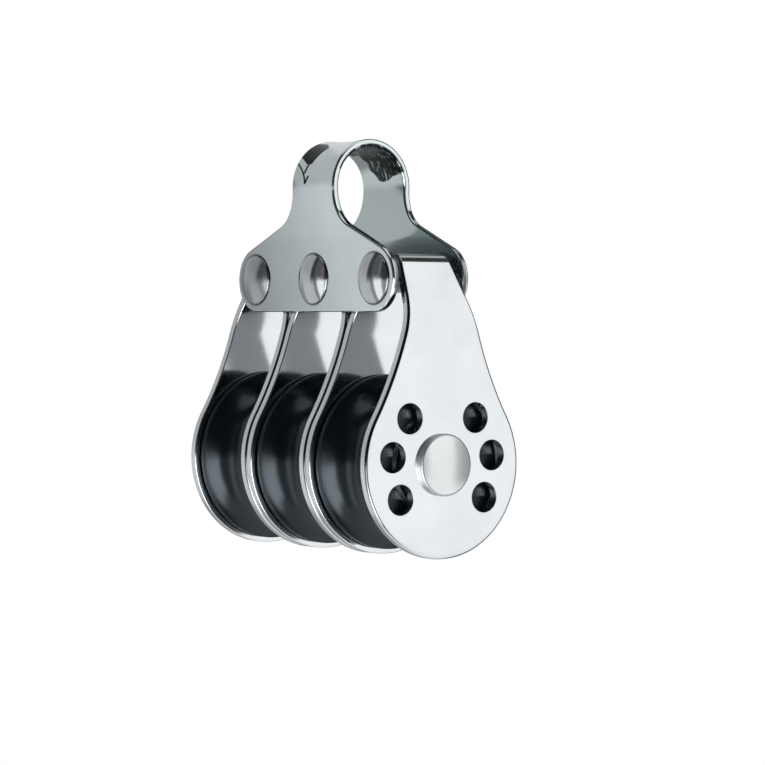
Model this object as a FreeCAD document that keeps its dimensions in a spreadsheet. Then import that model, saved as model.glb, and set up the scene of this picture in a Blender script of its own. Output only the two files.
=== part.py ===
import FreeCAD, Part
import math
import os
import Sketcher

# Triple block: three sheaves side by side on one riveted axle, each in its own folded shell,
# with the three shells riveted under one folded hanger whose arch is the eye.
# Frame: +X along the axle, +Y across the hanger's legs, +Z up, origin at the centre of the eye's round.

doc = FreeCAD.newDocument("triple_block")

# Driving dimensions, in millimetres and degrees. Heights are above the axle.
SIZES = [
    ("eye_height", 35.05, "centre of the eye's round"),
    ("eye_radius", 6.1, "outside of the hanger's arch"),
    ("hanger_sheet", 0.95, "thickness of the hanger"),
    ("leg_spacing", 11.7, "outside of the legs at the rivets"),
    ("pinch_height", 28.5, "where the legs start to lean outward"),
    ("pinch_bend", 20.0, "outer radius of that slight bend"),
    ("neck_width", 9.3, "hanger between eye and shoulders"),
    ("shoulder_angle", 22.0, "slope of the hanger's shoulders"),
    ("shoulder_blend", 4.85, "hollow radius from neck to shoulder"),
    ("lobe_radius", 4.2, "rounded end of the hanger round its outer rivets"),
    ("rivet_height", 23.2, "centre of the hanger rivets"),
    ("rivet_shank", 1.3, "radius"),
    ("rivet_head", 3.2, "radius"),
    ("rivet_wall", 0.2, "straight edge of the rivet's head"),
    ("rivet_crown", 0.9, "height of the rivet's head"),
    ("rivet_clearance", 0.05, "round the rivet's shank"),
    ("tube_radius", 1.85, "outside of the spacer tubes"),
    ("tube_clearance", 0.55, "between a spacer tube and the shell's leaning sides"),
    ("shell_width", 13.35, "outside of one shell along the axle, and from shell to shell"),
    ("shell_sheet", 1.2, "thickness of the shells"),
    ("cheek_radius", 11.75, "round end of a cheek about the axle"),
    ("neck_angle", 9.0, "cheek's side at the top, from vertical"),
    ("neck_blend", 48.0, "hollow radius from a cheek's round to its straight side"),
    ("crown_inset", 1.15, "inside of a leg to the side of the shell's crown"),
    ("lean_angle", 29.0, "lean of the cheeks' tops"),
    ("lean_bend", 9.5, "outer radius where a cheek starts to lean"),
    ("crown_bend", 2.2, "outer radius where a cheek turns into the crown"),
    ("edge_round", 0.18, "broken edge of the pressed sheets"),
    ("hole_circle", 7.7, "radius of the circle of cheek holes"),
    ("hole_radius", 1.9, "cheek hole"),
    ("hole_step", 41.0, "angle between neighbouring cheek holes, counted from the top"),
    ("axle_shank", 2.4, "radius"),
    ("axle_clearance", 0.05, "round the axle's shank"),
    ("axle_head", 3.9, "radius"),
    ("axle_wall", 0.75, "straight edge of the axle's head"),
    ("axle_crown", 1.0, "height of the axle's head"),
    ("axle_round", 0.3, "rounded edge of the axle's head"),
    ("race_radius", 3.95, "outside of the inner race between its tracks"),
    ("ball_radius", 1.19, "bearing ball"),
    ("ball_circle", 4.6, "radius of the circle of ball centres"),
    ("ball_inset", 2.475, "side of the sheave to each row of balls"),
    ("ball_clearance", 0.05, "between a ball and its tracks"),
    ("sheave_radius", 11.1, "outside of the sheave"),
    ("sheave_bore", 5.3, "radius between and beside the ball tracks"),
    ("side_gap", 0.3, "between sheave and cheek"),
    ("rim_land", 0.85, "flat of the rim beside the rope groove"),
    ("rim_round", 0.25, "rounded corner of the rim"),
    ("rope_root", 8.35, "radius at the bottom of the rope groove"),
    ("relief_depth", 0.35, "shallow recess in each side of the sheave"),
    ("relief_inner", 6.1, "radius where the recess starts"),
    ("relief_outer", 10.0, "radius where the recess ends"),
]
PLACES = {"left": -1, "middle": 0, "right": 1}
BALLS_IN_ROW = 11
HOLE_PLACES = (-3, -2, -1, 1, 2, 3)

sizes = doc.addObject("Spreadsheet::Sheet", "sizes")
for row, (alias, value, note) in enumerate(SIZES, start=1):
    sizes.set("A%d" % row, note)
    sizes.set("B%d" % row, str(value))
    sizes.setAlias("B%d" % row, alias)
doc.recompute()


def size(alias):
    return float(sizes.get(alias))


# Outline geometry. A run is (start, middle, end), and its middle is None where it is straight.

def polar(radius, degrees, centre=(0, 0)):
    angle = math.radians(degrees)
    return (centre[0] + radius * math.cos(angle), centre[1] + radius * math.sin(angle))


def toward(start, end):
    length = math.hypot(end[0] - start[0], end[1] - start[1])
    return ((end[0] - start[0]) / length, (end[1] - start[1]) / length)


def bend(before, corner, after, radius):
    """Start, middle and end of the arc that rounds a corner between two straight runs."""
    back = toward(corner, before)
    on = toward(corner, after)
    half = math.acos(back[0] * on[0] + back[1] * on[1]) / 2
    reach = radius / math.tan(half)
    depth = radius / math.sin(half) - radius
    inward = toward((0, 0), (back[0] + on[0], back[1] + on[1]))
    start = (corner[0] + back[0] * reach, corner[1] + back[1] * reach)
    middle = (corner[0] + inward[0] * depth, corner[1] + inward[1] * depth)
    end = (corner[0] + on[0] * reach, corner[1] + on[1] * reach)
    return start, middle, end


def inset(before, corner, after, distance):
    """The same corner on a line that runs beside the first, on its left."""
    first = toward(before, corner)
    second = toward(corner, after)
    share = distance / (1 + first[0] * second[0] + first[1] * second[1])
    return (corner[0] - share * (first[1] + second[1]), corner[1] + share * (first[0] + second[0]))


def chain(start, *steps):
    """Runs from point to point. A step is an end point, or the middle and end of an arc."""
    runs = []
    for step in steps:
        middle, end = step if isinstance(step[0], tuple) else (None, step)
        runs.append((start, middle, end))
        start = end
    return runs


def backwards(runs):
    return [(end, middle, start) for start, middle, end in reversed(runs)]


def flipped(point):
    return point and (-point[0], point[1])


def mirrored(runs):
    """The other half of a symmetrical outline, carried on from the first half's end."""
    return [tuple(flipped(point) for point in run) for run in backwards(runs)]


def frame_round(half_width, low, high):
    """A rectangle that leaves only what an outline inside it encloses."""
    return chain((-half_width, low), (half_width, low), (half_width, high), (-half_width, high), (-half_width, low))


# Features of the document.

def new_body(label, along="0", up="0"):
    """A body placed along the axle and up from the eye by rules on the sheet."""
    made = doc.addObject("PartDesign::Body", label)
    made.Label = label
    made.setExpression("Placement.Base.x", along)
    made.setExpression("Placement.Base.z", up)
    return made


def new_sketch(owner, plane, name, runs=(), circles=()):
    """A sketch on one of the body's own planes. A circle is its centre and the rule for its radius."""
    made = owner.newObject("Sketcher::SketchObject", name)
    face = next(item for item in owner.Origin.OriginFeatures if item.Role == plane)
    made.AttachmentSupport = [(face, "")]
    made.MapMode = "FlatFace"
    for run in runs:
        points = [FreeCAD.Vector(point[0], point[1], 0) for point in run if point]
        made.addGeometry(Part.Arc(*points) if run[1] else Part.LineSegment(*points))
    for centre, radius, rule in circles:
        circle = Part.Circle(FreeCAD.Vector(centre[0], centre[1], 0), FreeCAD.Vector(0, 0, 1), radius)
        number = made.addConstraint(Sketcher.Constraint("Radius", made.addGeometry(circle), radius))
        made.setExpression("Constraints[%d]" % number, rule)
    return made


def new_pad(owner, sketch, length_rule):
    made = owner.newObject("PartDesign::Pad", sketch.Name + "_pad")
    made.Profile = sketch
    made.SideType = "Symmetric"
    made.setExpression("Length", length_rule)
    return made


def new_pocket(owner, sketch):
    """Cut a sketch right through the body, both ways from its plane."""
    made = owner.newObject("PartDesign::Pocket", sketch.Name + "_pocket")
    made.Profile = sketch
    made.Type = "ThroughAll"
    made.SideType = "Symmetric"
    return made


def new_turning(owner, sketch):
    """Turn a half section about the sketch's own horizontal axis."""
    made = owner.newObject("PartDesign::Revolution", sketch.Name + "_turned")
    made.Profile = sketch
    made.ReferenceAxis = (sketch, ["H_Axis"])
    made.Angle = 360
    return made


def break_edges(owner, radius_rule):
    """Round every sharp edge of a pressed sheet, apart from the rims of its holes."""
    doc.recompute()
    tip = owner.Tip
    names = []
    for number, edge in enumerate(tip.Shape.Edges, start=1):
        if edge.Closed:
            continue
        middle = edge.valueAt((edge.FirstParameter + edge.LastParameter) / 2)
        sides = [face.normalAt(*face.Surface.parameter(middle))
                 for face in tip.Shape.ancestorsOfType(edge, Part.Face)]
        if len(sides) == 2 and sides[0].getAngle(sides[1]) > math.radians(30):
            names.append("Edge%d" % number)
    made = owner.newObject("PartDesign::Fillet", owner.Name + "_edges")
    made.Base = (tip, names)
    made.setExpression("Radius", radius_rule)
    return made


# Hanger: one sheet folded over into an arch, with two legs that end in a wide bar.
# Its side view is the fold and its front view is the blank's outline.

def fold_half(inside):
    """Half of the fold's side view, from a leg's foot to the top of the arch."""
    foot = size("rivet_height") - size("lobe_radius") - size("eye_height")
    pinch = size("pinch_height") - size("eye_height")
    outer = size("leg_spacing") / 2
    arch = size("eye_radius")
    lean = math.degrees(math.atan2(pinch, outer) + math.acos(arch / math.hypot(outer, pinch)))
    corner = (outer, pinch)
    touch = polar(arch, lean)
    radius = size("pinch_bend")
    if inside:
        corner = inset((outer, foot), (outer, pinch), touch, size("hanger_sheet"))
        outer -= size("hanger_sheet")
        arch -= size("hanger_sheet")
        touch = polar(arch, lean)
        radius += size("hanger_sheet")
    start, middle, end = bend((outer, foot), corner, touch, radius)
    return chain((outer, foot), start, (middle, end), touch, (polar(arch, (lean + 90) / 2), (0, arch)))


def hanger_half():
    """Half of the hanger's front view, from the middle of its foot to the top of its neck."""
    lobe = (size("shell_width"), size("rivet_height") - size("eye_height"))
    radius = size("lobe_radius")
    slope = size("shoulder_angle")
    shoulder = polar(radius, 90 - slope, lobe)
    neck = size("neck_width") / 2
    corner = (neck, shoulder[1] + (shoulder[0] - neck) * math.tan(math.radians(slope)))
    top = (neck, 2 * size("eye_radius"))
    start, middle, end = bend(shoulder, corner, top, size("shoulder_blend"))
    return chain((0, lobe[1] - radius), (lobe[0], lobe[1] - radius), (polar(radius, -slope / 2, lobe), shoulder),
                 start, (middle, end), top, (0, top[1]))


def build_hanger():
    hanger = new_body("hanger")
    outside = fold_half(False)
    inside = fold_half(True)
    outer_foot = outside[0][0]
    inner_foot = inside[0][0]
    fold = outside + mirrored(outside) + chain(flipped(outer_foot), flipped(inner_foot))
    fold += backwards(inside + mirrored(inside)) + chain(inner_foot, outer_foot)
    new_pad(hanger, new_sketch(hanger, "YZ_Plane", "hanger_fold", fold),
            "2 * (sizes.shell_width + sizes.lobe_radius)")
    half = hanger_half()
    reach = 2 * size("shell_width")
    frame = frame_round(reach, -size("eye_height"), 3 * size("eye_radius"))
    new_pocket(hanger, new_sketch(hanger, "XZ_Plane", "hanger_outline", frame + half + mirrored(half)))
    break_edges(hanger, "sizes.edge_round")
    height = size("rivet_height") - size("eye_height")
    radius = size("rivet_shank") + size("rivet_clearance")
    holes = [((place * size("shell_width"), height), radius, "sizes.rivet_shank + sizes.rivet_clearance")
             for place in PLACES.values()]
    new_pocket(hanger, new_sketch(hanger, "XZ_Plane", "hanger_holes", circles=holes))
    return hanger


# Shells: one strap each, folded over its spacer tube into two cheeks that lean together at the top.

def strap_half(inside):
    """Half of the strap's front view, from a cheek's foot to the middle of its crown."""
    side = size("shell_width") / 2
    foot = -size("cheek_radius")
    lean = math.radians(size("lean_angle"))
    crown = size("rivet_height") + size("tube_radius") + size("shell_sheet")
    clear = size("tube_radius") + size("tube_clearance") + size("shell_sheet")
    low = (side, size("rivet_height") + (clear - side * math.cos(lean)) / math.sin(lean))
    high = ((clear - (crown - size("rivet_height")) * math.sin(lean)) / math.cos(lean), crown)
    bends = [size("lean_bend"), size("crown_bend")]
    start = (side, foot)
    finish = (0, crown)
    if inside:
        sheet = size("shell_sheet")
        inner_low = inset(start, low, high, sheet)
        high = inset(low, high, finish, sheet)
        low = inner_low
        start = (side - sheet, foot)
        finish = (0, crown - sheet)
        bends = [radius - sheet for radius in bends]
    first = bend(start, low, high, bends[0])
    second = bend(low, high, finish, bends[1])
    return chain(start, first[0], first[1:], second[0], second[1:], finish)


def cheek_half():
    """Half of a cheek's side view, from its lowest point to the middle of the crown."""
    radius = size("cheek_radius")
    hollow = size("neck_blend")
    crown = size("rivet_height") + size("tube_radius") + size("shell_sheet")
    top = (size("leg_spacing") / 2 - size("hanger_sheet") - size("crown_inset"), crown)
    # The hollow arc touches both the cheek's round and the straight side, so its centre is a
    # known way out from that side and a known way from the axle.
    across = polar(1, size("neck_angle"))
    reach = top[0] * across[0] + top[1] * across[1] + hollow
    along = math.sqrt((radius + hollow) ** 2 - reach ** 2)
    centre = (reach * across[0] - along * across[1], reach * across[1] + along * across[0])
    turn = math.degrees(math.atan2(centre[1], centre[0]))
    leave = polar(radius, turn)
    touch = (centre[0] - hollow * across[0], centre[1] - hollow * across[1])
    middle = polar(hollow, 180 + (turn + size("neck_angle")) / 2, centre)
    return chain((0, -radius), (polar(radius, (turn - 90) / 2), leave), (middle, touch), top, (0, crown))


def build_shell(label, place):
    shell = new_body(label, "%d * sizes.shell_width" % place, "-sizes.eye_height")
    outside = strap_half(False)
    inside = strap_half(True)
    outer_foot = outside[0][0]
    inner_foot = inside[0][0]
    strap = outside + mirrored(outside) + chain(flipped(outer_foot), flipped(inner_foot))
    strap += backwards(inside + mirrored(inside)) + chain(inner_foot, outer_foot)
    new_pad(shell, new_sketch(shell, "XZ_Plane", label + "_strap", strap), "2 * sizes.cheek_radius")
    half = cheek_half()
    reach = 2 * size("cheek_radius")
    frame = frame_round(reach, -reach, reach + size("rivet_height"))
    new_pocket(shell, new_sketch(shell, "YZ_Plane", label + "_outline", frame + half + mirrored(half)))
    break_edges(shell, "sizes.edge_round")
    circles = [((0, 0), size("axle_shank") + size("axle_clearance"), "sizes.axle_shank + sizes.axle_clearance")]
    for hole in HOLE_PLACES:
        centre = polar(size("hole_circle"), 90 - hole * size("hole_step"))
        circles.append((centre, size("hole_radius"), "sizes.hole_radius"))
    new_pocket(shell, new_sketch(shell, "YZ_Plane", label + "_holes", circles=circles))
    return shell


# Spacer tubes between the hanger's legs, which hold the legs apart and carry the shells' crowns.

def build_tube(label, place):
    tube = new_body(label, "%d * sizes.shell_width" % place, "sizes.rivet_height - sizes.eye_height")
    rings = [((0, 0), size("tube_radius"), "sizes.tube_radius"),
             ((0, 0), size("rivet_shank") + size("rivet_clearance"), "sizes.rivet_shank + sizes.rivet_clearance")]
    new_pad(tube, new_sketch(tube, "XZ_Plane", label + "_ring", circles=rings),
            "sizes.leg_spacing - 2 * sizes.hanger_sheet")
    return tube


# Headed pins: the hanger's three rivets and the long axle rivet, each with a domed head at both ends.

def headed_pin_half(grip, shank, head, wall, crown):
    """Half of a pin's half section, from the outside of the head to the middle of the shank."""
    rise = crown - wall
    dome = (head * head + rise * rise) / (2 * rise)
    centre = (grip + crown - dome, 0)
    turn = math.degrees(math.asin(head / dome))
    return chain((grip + crown, 0), (polar(dome, turn / 2, centre), (grip + wall, head)),
                 (grip, head), (grip, shank), (0, shank))


def pin_section(half):
    return half + mirrored(half) + chain(flipped(half[0][0]), half[0][0])


def build_rivet(label, place):
    rivet = new_body(label, "%d * sizes.shell_width" % place, "sizes.rivet_height - sizes.eye_height")
    half = headed_pin_half(size("leg_spacing") / 2, size("rivet_shank"), size("rivet_head"),
                           size("rivet_wall"), size("rivet_crown"))
    new_turning(rivet, new_sketch(rivet, "YZ_Plane", label + "_section", pin_section(half)))
    return rivet


def build_axle():
    axle = new_body("axle_rivet", up="-sizes.eye_height")
    half = headed_pin_half(1.5 * size("shell_width"), size("axle_shank"), size("axle_head"),
                           size("axle_wall"), size("axle_crown"))
    turned = new_turning(axle, new_sketch(axle, "XZ_Plane", "axle_section", pin_section(half)))
    doc.recompute()
    rims = ["Edge%d" % number for number, edge in enumerate(turned.Shape.Edges, start=1)
            if edge.Closed and abs(abs(edge.CenterOfMass.x) - 1.5 * size("shell_width") - size("axle_wall")) < 0.01]
    rounded = axle.newObject("PartDesign::Fillet", "axle_edges")
    rounded.Base = (turned, rims)
    rounded.setExpression("Radius", "sizes.axle_round")
    return axle


# Bearing: an inner race clamped between the cheeks, two rows of balls, and the sheave that runs on them.

def track_half(reach, land):
    """Half of the wall beside one ball track, from the part's side to its middle, on radius land."""
    radius = size("ball_radius") + size("ball_clearance")
    row = size("shell_width") / 2 - size("shell_sheet") - size("side_gap") - size("ball_inset")
    centre = (row, size("ball_circle"))
    half = math.sqrt(radius * radius - (land - centre[1]) ** 2)
    bottom = centre[1] + math.copysign(radius, land - centre[1])
    return chain((reach, land), (centre[0] + half, land), ((centre[0], bottom), (centre[0] - half, land)), (0, land))


def build_race(label, place):
    race = new_body(label, "%d * sizes.shell_width" % place, "-sizes.eye_height")
    reach = size("shell_width") / 2 - size("shell_sheet")
    bore = size("axle_shank") + size("axle_clearance")
    outside = track_half(reach, size("race_radius"))
    section = outside + mirrored(outside)
    section += chain((-reach, size("race_radius")), (-reach, bore), (reach, bore), (reach, size("race_radius")))
    new_turning(race, new_sketch(race, "XZ_Plane", label + "_section", section))
    return race


def sheave_half():
    """Half of the sheave's half section, from the middle of its bore to the bottom of its rope groove."""
    reach = size("shell_width") / 2 - size("shell_sheet") - size("side_gap")
    rim = size("sheave_radius")
    groove = reach - size("rim_land")
    depth = rim - size("rope_root")
    round_radius = (groove * groove + depth * depth) / (2 * depth)
    turn = math.degrees(math.asin(groove / round_radius))
    centre = (0, size("rope_root") + round_radius)
    floor = reach - size("relief_depth")
    outer = size("relief_outer")
    inner = size("relief_inner")
    corner = bend((reach, outer), (reach, rim), (groove, rim), size("rim_round"))
    side = chain((reach, size("sheave_bore")), (reach, inner), (floor, inner + size("relief_depth")),
                 (floor, outer - size("relief_depth")), (reach, outer), corner[0], corner[1:], (groove, rim),
                 (polar(round_radius, turn / 2 - 90, centre), (0, size("rope_root"))))
    return backwards(track_half(reach, size("sheave_bore"))) + side


def build_sheave(label, place):
    sheave = new_body(label, "%d * sizes.shell_width" % place, "-sizes.eye_height")
    half = sheave_half()
    new_turning(sheave, new_sketch(sheave, "XZ_Plane", label + "_section", half + mirrored(half)))
    return sheave


def build_ball_row(label, place, side):
    balls = []
    for number in range(BALLS_IN_ROW):
        ball = doc.addObject("Part::Sphere", "%s_ball_%d" % (label, number))
        ball.setExpression("Radius", "sizes.ball_radius")
        angle = 360 * number / BALLS_IN_ROW
        ball.setExpression("Placement.Base.y", "sizes.ball_circle * sin(%.6f deg)" % angle)
        ball.setExpression("Placement.Base.z", "sizes.ball_circle * cos(%.6f deg)" % angle)
        balls.append(ball)
    ball_row = doc.addObject("Part::Compound", label)
    ball_row.Label = label
    ball_row.Links = balls
    row = "(sizes.shell_width / 2 - sizes.shell_sheet - sizes.side_gap - sizes.ball_inset)"
    ball_row.setExpression("Placement.Base.x", "%d * sizes.shell_width + %d * %s" % (place, side, row))
    ball_row.setExpression("Placement.Base.z", "-sizes.eye_height")
    return ball_row


# The whole block.

pieces = [build_hanger(), build_axle()]
for name, place in PLACES.items():
    pieces.append(build_shell(name + "_shell", place))
    pieces.append(build_tube(name + "_spacer_tube", place))
    pieces.append(build_rivet(name + "_hanger_rivet", place))
    pieces.append(build_race(name + "_inner_race", place))
    pieces.append(build_sheave(name + "_sheave", place))
    pieces.append(build_ball_row(name + "_sheave_balls_a", place, -1))
    pieces.append(build_ball_row(name + "_sheave_balls_b", place, 1))
doc.recompute()

for item in doc.Objects:
    if "Invalid" in item.State or "Error" in item.State:
        raise RuntimeError("%s did not build: %s" % (item.Name, item.State))
    if item.isDerivedFrom("PartDesign::Pocket") and item.Shape.Volume >= item.BaseFeature.Shape.Volume:
        raise RuntimeError("%s cut nothing" % item.Name)

os.makedirs("parts", exist_ok=True)
for piece in pieces:
    if piece.Shape.isNull() or not piece.Shape.isValid():
        raise RuntimeError("%s has no valid shape" % piece.Label)
    piece.Shape.exportStep("parts/%s.step" % piece.Label)
    box = piece.Shape.BoundBox
    print("%-24s solids %2d volume %9.3f  x %7.2f %7.2f  y %7.2f %7.2f  z %7.2f %7.2f" % (
        piece.Label, len(piece.Shape.Solids), piece.Shape.Volume,
        box.XMin, box.XMax, box.YMin, box.YMax, box.ZMin, box.ZMax))
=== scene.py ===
import bmesh
import bpy
import math
from mathutils import Matrix, Vector


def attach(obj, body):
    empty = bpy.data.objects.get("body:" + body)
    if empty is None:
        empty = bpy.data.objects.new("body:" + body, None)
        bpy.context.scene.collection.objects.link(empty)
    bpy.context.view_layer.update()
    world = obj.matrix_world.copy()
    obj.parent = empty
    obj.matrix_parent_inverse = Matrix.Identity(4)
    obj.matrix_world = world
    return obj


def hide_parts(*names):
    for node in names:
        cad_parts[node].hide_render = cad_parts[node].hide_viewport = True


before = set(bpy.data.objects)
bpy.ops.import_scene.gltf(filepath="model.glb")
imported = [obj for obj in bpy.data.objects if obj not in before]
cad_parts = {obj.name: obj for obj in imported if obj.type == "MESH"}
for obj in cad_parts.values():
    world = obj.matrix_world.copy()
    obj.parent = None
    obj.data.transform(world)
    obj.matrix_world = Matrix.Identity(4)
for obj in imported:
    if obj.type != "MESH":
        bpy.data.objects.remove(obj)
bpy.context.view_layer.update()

# Hanger: one strip of stainless sheet, stamped out flat and tumbled until its edges were round,
# then folded over a bar so that its middle is the arch of the eye. Its two wide feet take the rivets.
# It is polished all over, with the faint grain of the rolled sheet still in it.

MM = 0.001
eye_to_axle = 35.05
eye_radius = 6.1
hanger_sheet = 0.95
leg_spacing = 11.7
pinch_height = 28.5 - eye_to_axle
pinch_bend = 20.0
neck_width = 9.3
shoulder_angle = 22.0
shoulder_blend = 4.85
lobe_radius = 4.2
rivet_height = 23.2 - eye_to_axle
rivet_hole = 1.35
pitch = 13.35
# Roundings of an edge on the outer and the inner face.
hanger_edges = (0.30, 0.25)
hole_edges = (0.06, 0.06)
edge_border = 0.35
# The arch sinks in its middle, and is cut lengthwise so that it can.
arch_dip = 0.22
dip_full = 8.5
dip_end = 13.0
dip_cuts = [step * 0.6 for step in range(-7, 8)]


def arc_points(centre, radius, start, end, step=3.0):
    """Points of an arc from one angle to another, in degrees, both ends included."""
    count = max(2, math.ceil(abs(end - start) / step))
    angles = [math.radians(start + (end - start) * number / count) for number in range(count + 1)]
    across, up = centre
    return [(across + radius * math.cos(angle), up + radius * math.sin(angle)) for angle in angles]


def corner_points(before, corner, after, radius, step=10.0):
    """Points of the arc that rounds a corner between two straight lines."""
    corner = Vector(corner)
    back = (Vector(before) - corner).normalized()
    on = (Vector(after) - corner).normalized()
    half = back.angle(on) / 2
    centre = corner + (back + on).normalized() * radius / math.sin(half)
    start = corner + back * radius / math.tan(half) - centre
    turn = math.degrees(math.pi - 2 * half) * math.copysign(1, -back.cross(on))
    angle = math.degrees(math.atan2(start.y, start.x))
    return arc_points(centre, radius, angle, angle + turn, step)


def fold_runs(corners, bends):
    """A fold's side view as (length, turn) runs with rounded corners. It starts level and turns down."""
    runs = []
    spare = 0
    for before, corner, after, bend in zip(corners, corners[1:], corners[2:], bends):
        first = math.atan2(before[1] - corner[1], corner[0] - before[0])
        turn = math.atan2(corner[1] - after[1], after[0] - corner[0]) - first
        cut = bend * math.tan(abs(turn) / 2)
        runs += [(math.dist(before, corner) - spare - cut, 0), (abs(turn) * bend, turn)]
        spare = cut
    return runs + [(math.dist(corners[-2], corners[-1]) - spare, 0)]


def fold_stations(runs, step=3.0):
    """Where the blank is cut across, so that its bends come out round."""
    stations = []
    passed = 0
    for length, turn in runs:
        if turn:
            count = math.ceil(abs(math.degrees(turn)) / step)
            stations += [passed + length * number / count for number in range(count + 1)]
        passed += length
    return sorted({round(sign * station, 4) for station in stations for sign in (-1, 1)})


def whole_outline(quarter):
    """A blank's outline from the quarter that runs from the middle of one foot to its side at the fold."""
    right = quarter + [(across, -along) for across, along in reversed(quarter[:-1])]
    return right + [(-across, along) for across, along in reversed(right[1:-1])]


def side_normals(points):
    """The direction straight out to the left of each point of a closed line."""
    normals = []
    for number, point in enumerate(points):
        before = points[number - 1]
        after = points[(number + 1) % len(points)]
        first = Vector((before[1] - point[1], point[0] - before[0]))
        second = Vector((point[1] - after[1], after[0] - point[0]))
        normals.append((first * first.length + second * second.length).normalized())
    return normals


def edge_rings(sheet, roundings):
    """The rings of points round a cut edge, from the outer face to the inner one, each as its inset,
    depth, turn from the outer face and nearness to the edge."""
    rings = []
    for rounding in roundings:
        half = [(rounding + edge_border, 0, 0, 0)]
        for turn in (math.radians(18 * step) for step in range(6)):
            near = 1 + max(math.sin(2 * turn), 0) if turn else 0.5
            half.append((rounding * (1 - math.sin(turn)), rounding * (1 - math.cos(turn)), turn, near))
        if rings:
            half = [(inset, sheet - depth, math.pi - turn, min(near, 1))
                    for inset, depth, turn, near in reversed(half)]
        rings += half
    return rings


def sheet_blank(name, outline, holes, sheet, edges, stations, lengthwise=()):
    """The flat blank, its outer face at height 0. Each point keeps its outward direction and how near an
    edge it is: 1 on the cut edges and up to 2 on the outer corners."""
    bm = bmesh.new()
    outward = bm.verts.layers.float_vector.new("outward")
    edge = bm.verts.layers.float.new("edge")
    faces_edges = ([], [])
    for points, roundings in [(outline, edges)] + [(hole, hole_edges) for hole in holes]:
        normals = side_normals(points)
        made = []
        for inset, depth, turn, near in edge_rings(sheet, roundings):
            ring = []
            for point, normal in zip(points, normals):
                vert = bm.verts.new((point[0] - normal.x * inset, point[1] - normal.y * inset, -depth))
                vert[outward] = (normal.x * math.sin(turn), normal.y * math.sin(turn), math.cos(turn))
                vert[edge] = near
                ring.append(vert)
            made.append(ring)
        for upper, lower in zip(made, made[1:]):
            for number in range(len(points)):
                on = (number + 1) % len(points)
                bm.faces.new((upper[number], upper[on], lower[on], lower[number]))
        for side, ring in zip(faces_edges, (made[0], made[-1])):
            side += [bm.edges.get((ring[number - 1], ring[number])) for number in range(len(ring))]
    for side in faces_edges:
        bmesh.ops.triangle_fill(bm, use_beauty=True, edges=side)
    for cuts, facing in ((stations, Vector((0, 1, 0))), (lengthwise, Vector((1, 0, 0)))):
        for cut in cuts:
            bmesh.ops.bisect_plane(bm, geom=bm.verts[:] + bm.edges[:] + bm.faces[:], dist=0.0005,
                                   plane_co=facing * cut, plane_no=facing)
    bmesh.ops.scale(bm, vec=(MM, MM, MM), verts=bm.verts)
    mesh = bpy.data.meshes.new(name)
    bm.to_mesh(mesh)
    bm.free()
    return mesh


def sink_bend(mesh, half_width, dip, full, end):
    """Sink the middle of a bend between its edges, as sheet does when it is bent round a bar. The dip is
    whole up to full from the middle of the blank, and runs out at end."""
    for vert, item in zip(mesh.vertices, mesh.attributes["outward"].data):
        across = vert.co.x / MM / half_width
        share = min(max((end - abs(vert.co.y) / MM) / (end - full), 0), 1)
        share = share * share * (3 - 2 * share)
        if abs(across) < 1:
            vert.co.z -= share * dip * (1 - across * across) * MM
            slant = math.atan(2 * share * dip * across / half_width)
            item.vector = Matrix.Rotation(-slant, 3, "Y") @ item.vector


def add(tree, kind, inputs=None, **settings):
    """A node with its settings made and its inputs linked or filled in."""
    made = tree.nodes.new(kind)
    for key, value in settings.items():
        setattr(made, key, value)
    for key, value in (inputs or {}).items():
        if isinstance(value, bpy.types.NodeSocket):
            tree.links.new(value, made.inputs[key])
        else:
            made.inputs[key].default_value = value
    return made


def reckon(tree, operation, *values):
    """One step of arithmetic."""
    return add(tree, "ShaderNodeMath", dict(enumerate(values)), operation=operation).outputs[0]


def kept(tree, name, kind="FLOAT_VECTOR"):
    """What the points of a shape keep under a name."""
    return add(tree, "GeometryNodeInputNamedAttribute", {"Name": name}, data_type=kind).outputs[0]


def keep(tree, shape, name, value, kind="FLOAT_VECTOR"):
    """The shape, with a value kept on its points under a name."""
    return add(tree, "GeometryNodeStoreNamedAttribute", {"Geometry": shape, "Name": name, "Value": value},
               data_type=kind, domain="POINT").outputs[0]


def turned_about_x(tree, vector, angle):
    """A place or direction turned about the X axis."""
    return add(tree, "ShaderNodeVectorRotate", {"Vector": vector, "Angle": angle},
               rotation_type="X_AXIS").outputs[0]


def new_tree(name, inputs):
    """A Geometry Nodes tree and the sockets that bring in its shape, its named inputs and its material."""
    tree = bpy.data.node_groups.new(name, "GeometryNodeTree")
    for label, kind in [("Shape", "NodeSocketGeometry")] + inputs + [("Material", "NodeSocketMaterial")]:
        tree.interface.new_socket(label, in_out="INPUT", socket_type=kind)
    tree.interface.new_socket("Shape", in_out="OUTPUT", socket_type="NodeSocketGeometry")
    return tree, add(tree, "NodeGroupInput").outputs


def end_tree(tree, shape, material):
    """Give the shape its material and bring it out of the tree."""
    real = add(tree, "GeometryNodeRealizeInstances", {0: shape}).outputs[0]
    finished = add(tree, "GeometryNodeSetMaterial", {"Geometry": real, "Material": material}).outputs[0]
    add(tree, "NodeGroupOutput", {0: finished})


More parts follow.
